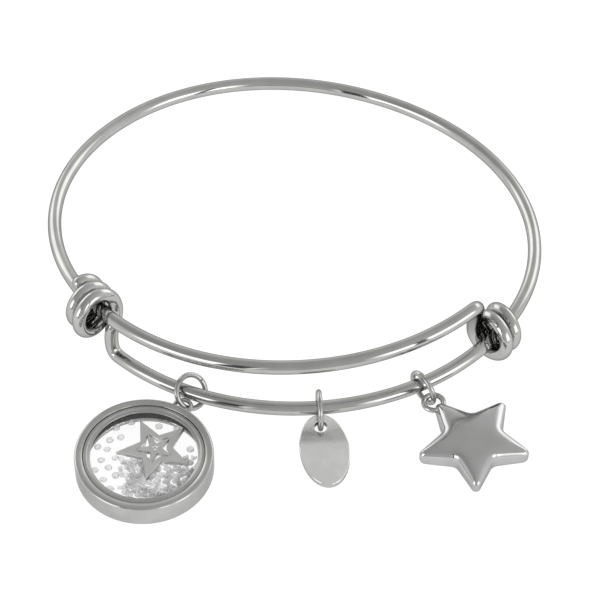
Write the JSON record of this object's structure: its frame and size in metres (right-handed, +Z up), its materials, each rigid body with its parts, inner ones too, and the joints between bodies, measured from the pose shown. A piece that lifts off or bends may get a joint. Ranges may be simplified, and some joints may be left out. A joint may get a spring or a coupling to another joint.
{
  "type": "charm bangle",
  "caption": "Expandable coiled-wire bangle with a round glass locket, an oval tag and a puffed star on jump rings.",
  "frame": {"origin": "middle of the wrist opening, on the surface that the bangle lies on", "axes": "+Z up out of the wrist opening, +Y to the back, away from the charms, +X to the right-hand coil"},
  "size_m": [0.0655, 0.0766, 0.0129],
  "materials": {
    "polished_steel": "polished stainless steel, neutral to slightly warm grey",
    "clear_glass": "clear, polished",
    "clear_crystal": "clear cut stones"
  },
  "bodies": {
    "root": {"bangle_wire": "polished_steel", "locket_case": "polished_steel", "locket_bezel": "polished_steel", "locket_front_glass": "clear_glass", "locket_back_glass": "clear_glass", "locket_star": "polished_steel", "locket_crystals": "clear_crystal", "locket_jump_ring": "polished_steel", "oval_tag": "polished_steel", "tag_jump_ring": "polished_steel", "star_charm": "polished_steel", "star_jump_ring": "polished_steel"}
  },
  "joints": []
}
